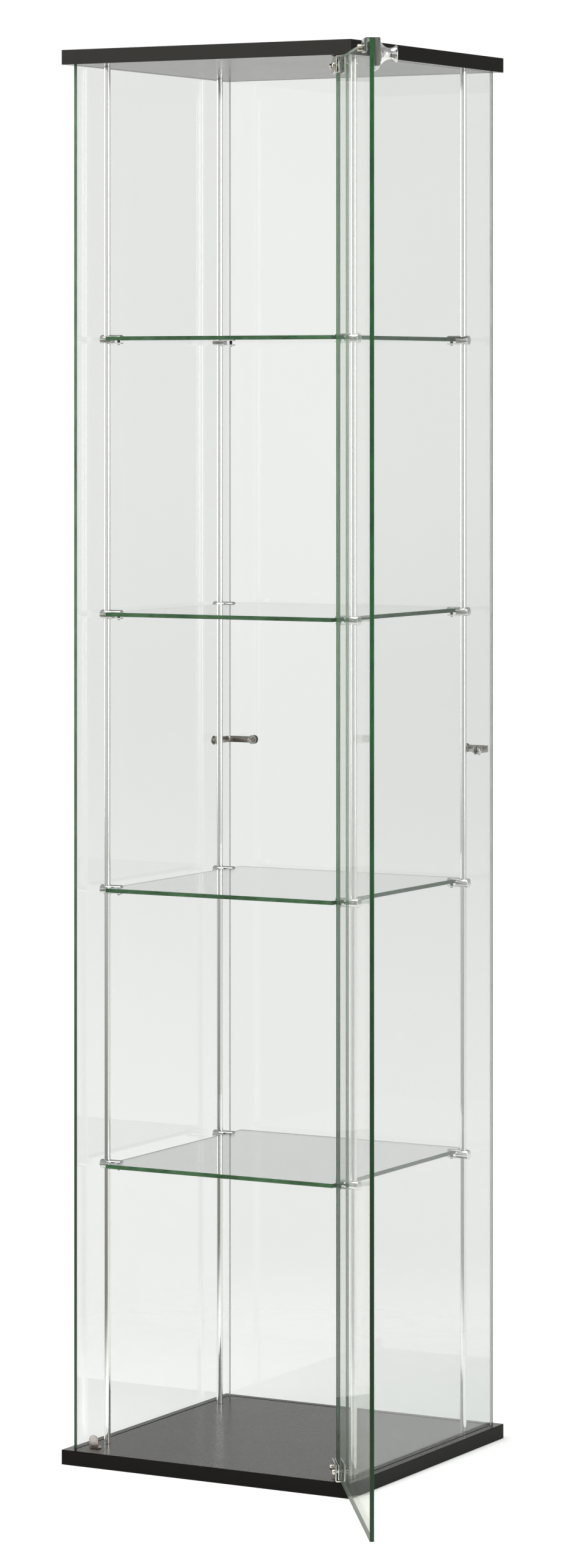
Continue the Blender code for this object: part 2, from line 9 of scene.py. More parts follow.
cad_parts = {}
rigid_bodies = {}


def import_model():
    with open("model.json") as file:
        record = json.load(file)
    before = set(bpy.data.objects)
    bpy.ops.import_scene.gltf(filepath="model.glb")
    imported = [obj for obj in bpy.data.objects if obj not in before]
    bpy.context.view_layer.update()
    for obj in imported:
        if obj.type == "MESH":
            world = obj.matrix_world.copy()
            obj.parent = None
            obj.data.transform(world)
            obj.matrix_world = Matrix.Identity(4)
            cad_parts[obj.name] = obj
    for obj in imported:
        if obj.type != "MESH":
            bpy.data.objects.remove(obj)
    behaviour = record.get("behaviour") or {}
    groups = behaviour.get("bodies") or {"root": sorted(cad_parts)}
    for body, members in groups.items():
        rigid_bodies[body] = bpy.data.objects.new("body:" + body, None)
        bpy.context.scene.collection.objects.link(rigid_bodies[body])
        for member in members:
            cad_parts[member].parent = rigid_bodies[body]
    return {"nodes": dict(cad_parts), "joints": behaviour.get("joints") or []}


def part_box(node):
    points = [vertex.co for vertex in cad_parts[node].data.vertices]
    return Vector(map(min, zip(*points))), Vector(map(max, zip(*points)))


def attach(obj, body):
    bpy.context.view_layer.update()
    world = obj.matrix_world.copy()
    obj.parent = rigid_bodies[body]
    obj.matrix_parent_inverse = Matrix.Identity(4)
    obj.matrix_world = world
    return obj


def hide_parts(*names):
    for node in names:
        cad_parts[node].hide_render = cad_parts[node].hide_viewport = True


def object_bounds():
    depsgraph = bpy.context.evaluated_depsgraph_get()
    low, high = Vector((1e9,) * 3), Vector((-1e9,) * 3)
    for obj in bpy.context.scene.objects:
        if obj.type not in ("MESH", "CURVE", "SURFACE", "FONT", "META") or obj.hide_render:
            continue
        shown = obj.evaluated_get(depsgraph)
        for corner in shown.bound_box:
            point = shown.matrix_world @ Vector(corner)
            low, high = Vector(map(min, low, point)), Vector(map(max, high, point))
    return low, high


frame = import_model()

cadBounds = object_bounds()
mm = 0.001
up = Vector((0, 0, 1))
print("frame loaded:", len(frame["nodes"]), "nodes")


def middleOf(node):
    low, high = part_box(node)
    return (low + high) / 2


def addObject(name, mesh):
    made = bpy.data.objects.new(name, mesh)
    bpy.context.scene.collection.objects.link(made)
    return made


def meshFrom(bm, name):
    bmesh.ops.recalc_face_normals(bm, faces=bm.faces)
    mesh = bpy.data.meshes.new(name)
    bm.to_mesh(mesh)
    bm.free()
    return mesh


def smooth(mesh, degrees=35):
    mesh.shade_smooth()
    mesh.set_sharp_from_angle(angle=math.radians(degrees))
    return mesh


def bake(made, name):
    # the evaluated object as a plain mesh, with its modifiers gone
    bpy.context.view_layer.update()
    mesh = bpy.data.meshes.new_from_object(made.evaluated_get(bpy.context.evaluated_depsgraph_get()))
    mesh.name = name
    made.modifiers.clear()
    made.data = mesh
    made.name = name
    return made


def dropObject(made):
    bpy.data.objects.remove(made, do_unlink=True)


def aim(axis, at=(0, 0, 0)):
    # takes +Z to the axis and the origin to the point
    return Matrix.Translation(Vector(at)) @ Vector(axis).to_track_quat("Z", "Y").to_matrix().to_4x4()


def turn(bm, profile, sides=48, place=None, closed=False):
    # spins (radius, height) pairs in millimetres about Z
    place = place or Matrix()
    rings = []
    for radius, height in profile:
        count = sides if radius > 0 else 1
        spots = [math.tau * i / count for i in range(count)]
        rings.append([
            bm.verts.new(place @ Vector((radius * math.cos(a) * mm, radius * math.sin(a) * mm, height * mm)))
            for a in spots
        ])
    pairs = list(zip(rings, rings[1:]))
    if closed:
        pairs.append((rings[-1], rings[0]))
    for low, high in pairs:
        for i in range(sides):
            j = (i + 1) % sides
            if len(low) == 1:
                bm.faces.new((low[0], high[j], high[i]))
            elif len(high) == 1:
                bm.faces.new((low[i], low[j], high[0]))
            else:
                bm.faces.new((low[i], low[j], high[j], high[i]))


def block(bm, low, high):
    # a box between two corners in millimetres
    low, high = Vector(low) * mm, Vector(high) * mm
    place = Matrix.Translation((low + high) / 2) @ Matrix.Diagonal((*(high - low), 1))
    bmesh.ops.create_cube(bm, size=1, matrix=place)


def carve(made, bm, edge=None, segments=1):
    # takes the shape in bm out of the piece, and where edge is given rounds what is left
    tool = addObject(made.name + "Tool", meshFrom(bm, made.name + "Tool"))
    change = made.modifiers.new("cut", "BOOLEAN")
    change.operation = "DIFFERENCE"
    change.object = tool
    if edge:
        soften(made, edge, segments, 40)
    bake(made, made.name)
    dropObject(tool)
    return made


def soften(made, width, segments=2, degrees=35):
    edge = made.modifiers.new("edge", "BEVEL")
    edge.width = width * mm
    edge.segments = segments
    edge.limit_method = "ANGLE"
    edge.angle_limit = math.radians(degrees)
    edge.use_clamp_overlap = True
    return made


def mergedCopy(node, name):
    # a node's own shape with its corners joined and its flat faces whole, ready for an edge
    bm = bmesh.new()
    bm.from_mesh(frame["nodes"][node].data)
    bmesh.ops.remove_doubles(bm, verts=bm.verts, dist=0.01 * mm)
    bmesh.ops.dissolve_limit(bm, angle_limit=math.radians(1), verts=bm.verts, edges=bm.edges)
    mesh = bpy.data.meshes.new(name)
    bm.to_mesh(mesh)
    bm.free()
    return addObject(name, mesh)


def dress(made, look, body, slot, *nodes):
    # gives a piece its finish and its body, and hides the nodes that it stands for
    made.data.materials.clear()
    made.data.materials.append(look)
    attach(made, body)
    if nodes:
        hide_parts(*nodes)
    return made


def rounded(node, name, edge, look, body, slot, segments=2):
    # a node's own shape with its edges eased
    made = mergedCopy(node, name)
    soften(made, edge, segments, 40)
    bake(made, name)
    smooth(made.data, 40)
    return dress(made, looks[look], body, slot, node)


class Wire:
    # one output of a tree; arithmetic on it adds Math nodes
    def __init__(self, builder, socket):
        self.builder = builder
        self.socket = socket

    def maths(self, operation, other=None, swap=False):
        values = [self] if other is None else ([other, self] if swap else [self, other])
        return self.builder.node("Math", {"operation": operation}, dict(enumerate(values)))

    def __add__(self, other):
        return self.maths("ADD", other)

    __radd__ = __add__

    def __mul__(self, other):
        return self.maths("MULTIPLY", other)

    __rmul__ = __mul__

    def __sub__(self, other):
        return self.maths("SUBTRACT", other)

    def __rsub__(self, other):
        return self.maths("SUBTRACT", other, swap=True)

    def over(self, edge):
        return self.maths("GREATER_THAN", edge)

    def between(self, low, high):
        # 0 at low, 1 at high, held outside
        return self.builder.node(
            "MapRange", {"interpolation_type": "SMOOTHSTEP"}, {"Value": self, "From Min": low, "From Max": high}
        )


class Builder:
    # a material's or the world's tree being built
    def __init__(self, name, world=False):
        self.made = (bpy.data.worlds if world else bpy.data.materials).new(name)
        self.made.use_nodes = True
        self.tree = self.made.node_tree
        self.tree.nodes.clear()
        self.end = self.tree.nodes.new("ShaderNodeOutputWorld" if world else "ShaderNodeOutputMaterial")

    def node(self, kind, settings=None, sockets=None, out=0):
        made = self.tree.nodes.new("ShaderNode" + kind)
        for key, value in (settings or {}).items():
            setattr(made, key, value)
        for key, value in (sockets or {}).items():
            self.plug(made.inputs[key], value)
        return Wire(self, made.outputs[out])

    def plug(self, socket, value):
        if isinstance(value, Wire):
            self.tree.links.new(value.socket, socket)
        elif isinstance(value, tuple) and len(value) == 3 and socket.type == "RGBA":
            socket.default_value = (*value, 1)
        else:
            socket.default_value = value

    def place(self, scale=(1, 1, 1)):
        here = self.node("TexCoord", out=3)
        return self.node("Mapping", sockets={"Vector": here, "Scale": scale})

    def parts(self, vector):
        # the three numbers of a vector
        made = self.node("SeparateXYZ", sockets={"Vector": vector}).socket.node
        return [Wire(self, out) for out in made.outputs]

    def noise(self, scale, detail=2.0, rough=0.5, stretch=(1, 1, 1)):
        return self.node(
            "TexNoise",
            sockets={"Vector": self.place(stretch), "Scale": scale, "Detail": detail, "Roughness": rough},
        )

    def mix(self, share, first, second):
        return self.node("Mix", {"data_type": "RGBA"}, {0: share, 6: first, 7: second}, out=2)

    def bump(self, height, strength, distance):
        return self.node("Bump", sockets={"Height": height, "Strength": strength, "Distance": distance})

    def principled(self, **sockets):
        names = {key: key.replace("_", " ") for key in sockets}
        return self.node("BsdfPrincipled", sockets={names[key]: value for key, value in sockets.items()})

    def finish(self, shader):
        self.tree.links.new(shader.socket, self.end.inputs["Surface"])
        return self.made



def shaded(colour, by):
    return tuple(value * by for value in colour)


hinge = next(joint for joint in frame["joints"] if joint["name"] == "door_hinge")
doorSwing = math.radians(-hinge["range_deg"][0])
doorAlong = Vector((-math.cos(doorSwing), -math.sin(doorSwing), 0))  # from the pivot to the free edge
doorOut = Vector((math.sin(doorSwing), -math.cos(doorSwing), 0))  # away from the inside of the case when shut

foilSettings = {
    "dark": (0.0100, 0.0088, 0.0075),
    "light": (0.052, 0.046, 0.037),
    "roughness": (0.17, 0.30), "ior": 1.42,
    "speckScale": 1200, "grainScale": 620, "cloudScale": 9,
    "relief": 0.14, "reliefDepth": 0.00008,
    "band": (0.0060, 0.0056, 0.0050), "bandGrain": 1.6,
    "litTopFront": (0.040, 0.039, 0.036), "litTopFrontFrom": (0.5, 1.2),
    "bandFrom": 0.1994,
    "bandRoughness": 0.40, "bandIor": 1.5, "bandGloss": 0.055,
}


def foilLook():
    # mottled foil on the faces, a duller band round the edges; the band's darker colour is partly its own finish and
    # partly painted shade for the shadowed floor that the base's front edge mirrors
    s = foilSettings
    b = Builder("blackBrownFoil")
    speck = b.noise(s["speckScale"], 2, 0.6)
    grain = b.noise(s["grainScale"], 4, 0.55)
    cloud = b.noise(s["cloudScale"], 3, 0.5)
    across, deep, height = b.parts(b.node("TexCoord", out=3))
    band = across.maths("ABSOLUTE").maths("MAXIMUM", deep.maths("ABSOLUTE")).over(s["bandFrom"])
    tone = (speck.between(0.40, 0.70) * 0.7 + grain.between(0.4, 0.75) * 0.3) * (cloud * 0.5 + 0.75)
    colour = b.mix(tone, s["dark"], s["light"])
    low, high = s["roughness"]
    rough = speck.between(0.3, 0.7) * (high - low) * 0.7 + cloud * (high - low) * 0.3 + low
    relief = b.bump(speck * 0.6 + grain * 0.4, s["relief"], s["reliefDepth"])
    face = b.principled(Base_Color=colour, Roughness=rough, Normal=relief, IOR=s["ior"])
    # partly painted shade: the band's colour is darker than the faces'
    edging = b.mix(grain, s["band"], shaded(s["band"], s["bandGrain"]))
    # painted light: the top board's front edge is painted a lighter foil, a painted sheen for the room light that it
    # catches
    front = (deep * -1).over(s["bandFrom"])
    edging = b.mix(height.between(*s["litTopFrontFrom"]) * front, edging, s["litTopFront"])
    edge = b.principled(
        Base_Color=edging, Roughness=s["bandRoughness"], Normal=relief,
        IOR=s["bandIor"], Specular_IOR_Level=s["bandGloss"],
    )
    return b.finish(b.node("MixShader", sockets={0: band, 1: face, 2: edge}))


glassSettings = {
    "tint": (0.852, 0.864, 0.856), "sideTint": (0.985, 0.995, 0.988), "ior": 1.5,
    "hazeScale": 3.5, "hazeTint": 0.992,
    "lowShade": 0.875, "lowShadeFrom": (0.1, 1.3),
    "doorTint": (0.985, 0.992, 0.985), "doorIor": 1.36, "mirrorSlope": 0.0147,
    "doorClear": 0.80, "clearHigh": (0.99, 0.995, 0.985), "clearShadedFoot": (0.80, 0.81, 0.77), "clearShadeFrom": (0.0, 0.16),
    "shade": (0.93, 0.955, 0.94),
}


def glassLook(name, tint, ior, door=False):
    # clear sheet glass, which lets a tinted light through to what it shades
    s = glassSettings
    b = Builder(name)
    haze = b.noise(s["hazeScale"], 3, 0.6)
    across, deep, high = b.parts(b.node("TexCoord", out=3))
    colour = b.mix(haze.between(0.35, 0.7), tint, shaded(tint, s["hazeTint"]))
    # painted shade: a fixed pane is tinted greyer towards the base, for the dimmer floor seen through its lower part
    colour = b.mix(high.between(*s["lowShadeFrom"]), shaded(tint, 1.0 if door else s["lowShade"]), colour)
    values = {"Base_Color": colour, "Roughness": 0.0, "IOR": ior, "Transmission_Weight": 1.0}
    if door:
        # an even slope along the sheet, which turns what it mirrors by a little
        values["Normal"] = b.bump((across * doorAlong.x + deep * doorAlong.y) * s["mirrorSlope"], 1.0, 1.0)
    glass = b.principled(**values)
    if door:
        # most of the light goes straight through, which keeps its mirror images weak
        # painted shade: the clear part darkens towards the door's foot, for the shadowed floor near the base
        low = b.node("BsdfTransparent", sockets={"Color": s["clearShadedFoot"]})
        clear = b.node("BsdfTransparent", sockets={"Color": s["clearHigh"]})
        clear = b.node("MixShader", sockets={0: high.between(*s["clearShadeFrom"]), 1: low, 2: clear})
        glass = b.node("MixShader", sockets={0: s["doorClear"], 1: glass, 2: clear})
    shade = b.node("BsdfTransparent", sockets={"Color": s["shade"]})
    lamps = b.node("LightPath", out=1)
    return b.finish(b.node("MixShader", sockets={0: lamps, 1: glass, 2: shade}))


def glassEdgeLook(name, deep, bright, along, foot=None):
    # the ground rim, where the sheet's own green gathers; along is the direction of the grinding marks,
    # foot the colour that an upright rim darkens to near its lower end, a painted shade
    b = Builder(name)
    stretch = tuple(0.06 if part else 1.0 for part in along)
    marks = b.noise(1500, 3, 0.6, stretch)
    depth = b.noise(26, 4, 0.6)
    colour = b.mix(depth.between(0.3, 0.7) * 0.55 + marks.between(0.35, 0.7) * 0.45, deep, bright)
    # painted shade: an upright rim is darker towards its lower end
    if foot:
        height = b.parts(b.node("TexCoord", out=3))[2]
        colour = b.mix(1 - height.between(0.25, 1.0), colour, foot)
    rough = marks * 0.25 + 0.18
    relief = b.bump(marks, 0.3, 0.00008)
    return b.finish(b.principled(Base_Color=colour, Roughness=rough, Normal=relief, IOR=1.4))


def metalLook(name, colour, rough, spread=0.08, streak=None, grime=0.12, markScale=900, relief=0.04):
    # streak stretches the polishing marks along one direction
    b = Builder(name)
    marks = b.noise(markScale, 3, 0.6, streak or (1, 1, 1))
    cloud = b.noise(60, 3, 0.55)
    worn = cloud.between(0.52, 0.78) * grime
    tone = b.mix(worn, colour, shaded(colour, 0.55))
    roughness = marks * spread + cloud * spread * 0.5 + (rough - spread * 0.75)
    normal = b.bump(marks, relief, 0.00003)
    return b.finish(b.principled(Base_Color=tone, Metallic=1.0, Roughness=roughness, Normal=normal))


def plasticLook(name, colour, rough, clear=0.0):
    # fine-grained plastic or rubber; clear is how much light goes through it
    b = Builder(name)
    grain = b.noise(1200, 3, 0.6)
    tone = b.mix(grain.between(0.35, 0.7), colour, shaded(colour, 0.86))
    relief = b.bump(grain, 0.18, 0.00005)
    return b.finish(
        b.principled(
            Base_Color=tone,
            Roughness=grain * 0.14 + (rough - 0.07),
            Normal=relief,
            IOR=1.47,
            Transmission_Weight=clear,
        )
    )


upright, level = (0, 0, 1), (1, 1, 0)  # which way a rim was ground
looks = {
    "foil": foilLook(),
    "pane": glassLook("paneGlass", glassSettings["tint"], glassSettings["ior"]),
    "shelf": glassLook("shelfGlass", glassSettings["tint"], glassSettings["ior"]),
    "sidePane": glassLook("sideGlass", glassSettings["sideTint"], glassSettings["ior"]),
    "door": glassLook("doorGlass", glassSettings["doorTint"], glassSettings["doorIor"], True),
    "paneEdge": glassEdgeLook("paneRim", (0.055, 0.130, 0.060), (0.130, 0.245, 0.135), upright, (0.028, 0.070, 0.030)),
    "shelfEdge": glassEdgeLook("shelfRim", (0.020, 0.068, 0.026), (0.090, 0.200, 0.095), level),
    "shelfSide": glassEdgeLook("shelfSideRim", (0.006, 0.028, 0.009), (0.030, 0.085, 0.036), level),
    "doorEdge": glassEdgeLook("doorRim", (0.008, 0.068, 0.015), (0.032, 0.165, 0.048), upright, (0.013, 0.048, 0.018)),
    "jointEdge": glassEdgeLook("jointRim", (0.085, 0.098, 0.085), (0.26, 0.28, 0.25), upright, (0.05, 0.056, 0.046)),
    # painted light: these joint rims are painted pale grey, standing for the light that passes through the corner
    # joints where they lie in shade
    "litJoint": glassEdgeLook("paleJointRim", (0.56, 0.555, 0.52), (0.70, 0.69, 0.66), upright),
    "rod": metalLook("rodChrome", (0.86, 0.86, 0.84), 0.09, 0.04, (1, 1, 0.02), 0.05),
    "clip": metalLook("clipChrome", (0.76, 0.77, 0.75), 0.16, 0.08, (0.05, 1, 1), 0.14),
    "zinc": metalLook("zincSteel", (0.50, 0.49, 0.455), 0.24, 0.06, None, 0.18, 1500),
    "strap": metalLook("strapSteel", (0.27, 0.255, 0.228), 0.24, 0.05, (1, 1, 0.08), 0.10, 1200),
    "hinge": metalLook("hingeNickel", (0.64, 0.62, 0.545), 0.22, 0.10),
    "nickel": metalLook("warmNickel", (0.74, 0.635, 0.565), 0.24, 0.10),
    "knobClamp": metalLook("knobClampChrome", (0.23, 0.245, 0.225), 0.18, 0.06, None, 0.10, 500),
    "knob": metalLook("knobChrome", (0.78, 0.78, 0.76), 0.09, 0.05, None, 0.05, 500),
    "brass": metalLook("paleBrass", (0.66, 0.62, 0.50), 0.24, 0.10),
    "dark": metalLook("blackenedScrew", (0.16, 0.155, 0.15), 0.32, 0.10),
    "rubber": plasticLook("blackRubber", (0.018, 0.018, 0.018), 0.62),
    "nylon": plasticLook("pivotNylon", (0.16, 0.16, 0.15), 0.42),
    "bumper": plasticLook("clearBumper", (0.93, 0.90, 0.89), 0.10, 0.70),
    "gasket": plasticLook("paleGasket", (0.62, 0.64, 0.62), 0.45),
    "lip": plasticLook("clearLip", (0.97, 0.975, 0.96), 0.16, 0.08),
}
print("finishes made:", len(looks))


class Garden:
    # a geometry tree with named inputs
    def __init__(self, name, inputs):
        self.tree = bpy.data.node_groups.new(name, "GeometryNodeTree")
        face = self.tree.interface
        face.new_socket("Geometry", in_out="INPUT", socket_type="NodeSocketGeometry")
        self.ids = {}
        for label, (kind, value) in inputs.items():
            socket = face.new_socket(label, in_out="INPUT", socket_type="NodeSocket" + kind)
            if value is not None:
                socket.default_value = value
            self.ids[label] = socket.identifier
        face.new_socket("Geometry", in_out="OUTPUT", socket_type="NodeSocketGeometry")
        self.start = self.tree.nodes.new("NodeGroupInput").outputs
        self.end = self.tree.nodes.new("NodeGroupOutput").inputs[0]

    def node(self, kind, settings=None, sockets=None, out=0):
        full = kind if kind.startswith(("ShaderNode", "FunctionNode")) else "GeometryNode" + kind
        made = self.tree.nodes.new(full)
        for key, value in (settings or {}).items():
            setattr(made, key, value)
        for key, value in (sockets or {}).items():
            if isinstance(value, bpy.types.NodeSocket):
                self.tree.links.new(value, made.inputs[key])
            else:
                made.inputs[key].default_value = value
        return made.outputs[out]

    def finish(self, geometry):
        self.tree.links.new(geometry, self.end)

    def run(self, name, carrier, values):
        # grows the tree on the carrier and keeps the plain mesh
        made = addObject(name, carrier)
        step = made.modifiers.new("grow", "NODES")
        step.node_group = self.tree
        for label, value in values.items():
            step[self.ids[label]] = value
        bake(made, name)
        for label in ("axis", "side"):
            if label in made.data.attributes:
                made.data.attributes.remove(made.data.attributes[label])
        return made


def rodGarden():
    # an upright bar on each point
    g = Garden("rodsOnPoints", {
        "Foot": ("Float", 0.018), "Length": ("Float", 1.6), "Radius": ("Float", 0.004), "Sides": ("Int", 48),
        "Finish": ("Material", None),
    })
    bar = g.node("MeshCylinder", None, {"Vertices": g.start["Sides"], "Radius": g.start["Radius"],
                                        "Depth": g.start["Length"]})
    half = g.node("ShaderNodeMath", {"operation": "MULTIPLY_ADD"}, {0: g.start["Length"], 1: 0.5, 2: g.start["Foot"]})
    rise = g.node("ShaderNodeCombineXYZ", None, {"Z": half})
    bar = g.node("Transform", None, {"Geometry": bar, "Translation": rise})
    bars = g.node("InstanceOnPoints", None, {"Points": g.start["Geometry"], "Instance": bar})
    solid = g.node("RealizeInstances", None, {"Geometry": bars})
    g.finish(g.node("SetMaterial", None, {"Geometry": solid, "Material": g.start["Finish"]}))
    return g


def fastenerGarden():
    # a copy of one piece on each point, its +Z turned to the point's axis and its +X kept near the point's side
    g = Garden("fasteners", {
        "Piece": ("Object", None), "Size": ("Float", 1.0), "Finish": ("Material", None),
    })
    piece = g.node("ObjectInfo", {"transform_space": "ORIGINAL"}, {"Object": g.start["Piece"]}, 4)
    axis = g.node("InputNamedAttribute", {"data_type": "FLOAT_VECTOR"}, {"Name": "axis"})
    side = g.node("InputNamedAttribute", {"data_type": "FLOAT_VECTOR"}, {"Name": "side"})
    facing = g.node("FunctionNodeAxesToRotation", {"primary_axis": "Z", "secondary_axis": "X"},
                    {0: axis, 1: side})
    spread = g.node("InstanceOnPoints", None, {"Points": g.start["Geometry"], "Instance": piece,
                                               "Rotation": facing, "Scale": g.start["Size"]})
    solid = g.node("RealizeInstances", None, {"Geometry": spread})
    g.finish(g.node("SetMaterial", None, {"Geometry": solid, "Material": g.start["Finish"]}))
    return g


def pointCarrier(name, spots):
    # spots: (place, axis, side) for each copy
    mesh = bpy.data.meshes.new(name)
    mesh.from_pydata([tuple(place) for place, _, _ in spots], [], [])
    for label, index in (("axis", 1), ("side", 2)):
        held = mesh.attributes.new(label, "FLOAT_VECTOR", "POINT")
        for i, spot in enumerate(spots):
            held.data[i].vector = Vector(spot[index])
    return mesh


rods = rodGarden()
fasteners = fastenerGarden()


def spread(name, piece, spots, look, body, slot, *nodes):
    # a copy of the piece on each spot, as one finished piece
    made = fasteners.run(name, pointCarrier(name, spots), {"Piece": piece, "Size": 1.0, "Finish": looks[look]})
    smooth(made.data)
    return dress(made, looks[look], body, slot, *nodes)


for board in ("base_panel", "top_panel"):
    piece = frame["nodes"][board]
    piece.data.materials.clear()
    piece.data.materials.append(looks["foil"])
print("boards faced")


sheetSettings = {"arris": 0.45, "arrisSteps": 2, "behind": -0.1}
acrossCase, rear = Vector((1, 0, 0)), Vector((0, 1, 0))


def glassSheet(node, name, normal, sheet, rim, body, other=None):
    # the sheet with a ground arris; everything that isn't one of its two faces takes the rim's finish,
    # and the rims behind the front that face along other[0] take the finish other[1]
    made = mergedCopy(node, name)
    soften(made, sheetSettings["arris"], sheetSettings["arrisSteps"], 50)
    bake(made, name)
    made.data.materials.clear()
    for look in (sheet, rim) + ((other[1],) if other else ()):
        made.data.materials.append(looks[look])
    facing = normal.normalized()
    for face in made.data.polygons:
        face.material_index = 0 if abs(face.normal.dot(facing)) > 0.999 else 1
        behind = face.center.y > sheetSettings["behind"]
        if other and face.material_index and behind and abs(face.normal.dot(other[0])) > 0.5:
            face.material_index = 2
        face.use_smooth = False
    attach(made, body)
    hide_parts(node)
    return made


for wall, facing, sheet, other in (
    ("left", acrossCase, "pane", (rear, "litJoint")),
    ("right", acrossCase, "sidePane", (rear, "jointEdge")),
    ("back", rear, "pane", (acrossCase, "litJoint")),
):
    glassSheet(f"{wall}_pane", f"{wall}Pane", facing, sheet, "paneEdge", "cabinet", other)
for number in range(1, 5):
    glassSheet(f"shelf_{number}", f"shelf{number}", up, "shelf", "shelfEdge", "cabinet",
               (acrossCase, "shelfSide"))
glassSheet("door_pane", "doorPane", doorOut, "door", "doorEdge", "door")
print("glass cut")


corners = [f"{end}_{side}" for end in ("front", "back") for side in ("left", "right")]
rodLow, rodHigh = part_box("rod_front_left")
rodCentres = [middleOf(f"rod_{corner}") for corner in corners]
rodSpots = [(Vector((centre.x, centre.y, 0)), up, (1, 0, 0)) for centre in rodCentres]
rodSet = rods.run("rods", pointCarrier("rods", rodSpots), {
    "Foot": rodLow.z, "Length": rodHigh.z - rodLow.z,
    "Radius": (rodHigh.x - rodLow.x) / 2, "Sides": 48, "Finish": looks["rod"],
})
smooth(rodSet.data)
dress(rodSet, looks["rod"], "cabinet", "rod_chrome", *[f"rod_{corner}" for corner in corners])

boltSettings = {"head": 5.0, "height": 4.5, "socket": 2.3, "socketDepth": 2.4}


def boltPiece():
    # socket head only, seen in its counterbore: +Z points out of the board
    s = boltSettings
    bm = bmesh.new()
    turn(bm, [(0, 0), (s["head"], 0), (s["head"], s["height"] * 0.86), (s["head"] * 0.93, s["height"]),
              (0, s["height"])], 40)
    made = addObject("boltPiece", meshFrom(bm, "boltPiece"))
    bm = bmesh.new()
    turn(bm, [(0, s["height"] - s["socketDepth"]), (s["socket"], s["height"] - s["socketDepth"]),
              (s["socket"], s["height"] + 1), (0, s["height"] + 1)], 6)
    return carve(made, bm)


boltHead = boltPiece()
spots = []
nodes = []
for board, outward in (("base", -1), ("top", 1)):
    for corner in corners:
        node = f"{board}_bolt_{corner}"
        low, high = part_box(node)
        seat = (high.z if outward > 0 else low.z) - outward * boltSettings["height"] * mm
        centre = middleOf(node)
        spots.append((Vector((centre.x, centre.y, seat)), up * outward, (1, 0, 0)))
        nodes.append(node)
spread("boltHeads", boltHead, spots, "zinc", "cabinet", "zinc_steel", *nodes)
dropObject(boltHead)
print("rods stood")


clipSettings = {
    "radius": 5.75, "inner": 21, "outer": 8, "chamfer": 0.45, "edge": 0.22,
    "slotHalf": 3.7, "slotEnd": 8, "rodHole": 4.15,
    "screwAt": 16.3, "screwRadius": 1.7, "screwDrop": 0.9,
    "padRadius": 1.75,
    "spareScrew": ("clip_1_back_right", 5.9),
}


def clipPiece():
    # built along +Z for the spreading tree: +Z towards the case's outside, +X up
    s = clipSettings
    bm = bmesh.new()
    edge = s["chamfer"]
    turn(bm, [(0, -s["inner"]), (s["radius"] - edge, -s["inner"]), (s["radius"], -s["inner"] + edge),
              (s["radius"], s["outer"] - edge), (s["radius"] - edge, s["outer"]), (0, s["outer"])], 48)
    made = addObject("clipPiece", meshFrom(bm, "clipPiece"))
    bm = bmesh.new()
    turn(bm, [(0, -20), (s["rodHole"], -20), (s["rodHole"], 20), (0, 20)], 40, aim((1, 0, 0)))
    block(bm, (-s["slotHalf"], -20, -40), (s["slotHalf"], 20, -s["slotEnd"]))
    return carve(made, bm, s["edge"], 2)


def clipScrewPiece():
    # the grub screw under the lower jaw, +Z pointing down out of the clip
    s = clipSettings
    low = s["slotHalf"]
    tip = s["radius"] + s["screwDrop"]
    bm = bmesh.new()
    turn(bm, [(0, low), (s["screwRadius"], low), (s["screwRadius"], tip - 0.3), (s["screwRadius"] - 0.3, tip),
              (0, tip)], 24)
    made = addObject("clipScrewPiece", meshFrom(bm, "clipScrewPiece"))
    bm = bmesh.new()
    block(bm, (-3, -0.3, tip - 0.7), (3, 0.3, tip + 1))
    return carve(made, bm)


def clipPadPiece():
    # the soft pad between the lower jaw and the glass, +Z pointing up
    s = clipSettings
    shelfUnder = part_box("shelf_1")[0].z / mm
    level = clipLevel("clip_1_front_left") / mm
    rise = shelfUnder - level
    bm = bmesh.new()
    turn(bm, [(0, -s["slotHalf"]), (s["padRadius"], -s["slotHalf"]), (s["padRadius"], rise - 0.35),
              (s["padRadius"] - 0.2, rise - 0.02), (0, rise - 0.02)], 24)
    return addObject("clipPadPiece", meshFrom(bm, "clipPadPiece"))


def clipLevel(node):
    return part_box(node)[1].z - clipSettings["radius"] * mm


clipSpots, screwSpots, padSpots, clipNodes = [], [], [], []
for number in range(1, 5):
    for corner in corners:
        node = f"clip_{number}_{corner}"
        rod = middleOf(f"rod_{corner}")
        level = clipLevel(node)
        outward = Vector((math.copysign(1, rod.x), 0, 0))
        place = Vector((rod.x, rod.y, level))
        screwPlace = place - outward * clipSettings["screwAt"] * mm
        clipSpots.append((place, outward, up))
        screwSpots.append((screwPlace, -up, (1, 0, 0)))
        padSpots.append((screwPlace, up, (1, 0, 0)))
        clipNodes.append(node)
clip, clipScrew, clipPad = clipPiece(), clipScrewPiece(), clipPadPiece()
spread("shelfClips", clip, clipSpots, "clip", "cabinet", "clip_chrome", *clipNodes)
spread("clipScrews", clipScrew, screwSpots, "zinc", "cabinet", "clip_chrome")
spread("clipPads", clipPad, padSpots, "rubber", "cabinet", "clip_chrome")
node, offset = clipSettings["spareScrew"]
rod = middleOf("rod_back_right")
bm = bmesh.new()
turn(bm, [(0, -0.6), (1.5, -0.6), (1.5, -0.1), (1.2, 0.0), (0, 0.0)], 24,
     aim(up, (rod.x + offset * mm, rod.y, clipLevel(node) + (clipSettings["radius"] + 0.25) * mm)))
spare = addObject("spareClipScrew", smooth(meshFrom(bm, "spareClipScrew")))
dress(spare, looks["dark"], "cabinet", "clip_chrome")
for piece in (clip, clipScrew, clipPad):
    dropObject(piece)
print("clips set:", len(clipSpots))


strapSettings = {
    "edge": 0.35,
    "washerRadius": 5.7, "washerThick": 1.0,
    "headRadius": 4.6, "headRise": 2.4, "slotWidth": 0.9, "slotDepth": 1.0,
    "nutRadius": 3.7, "nutLength": 3.0, "tipRadius": 2.1, "tipLength": 9.6,
}


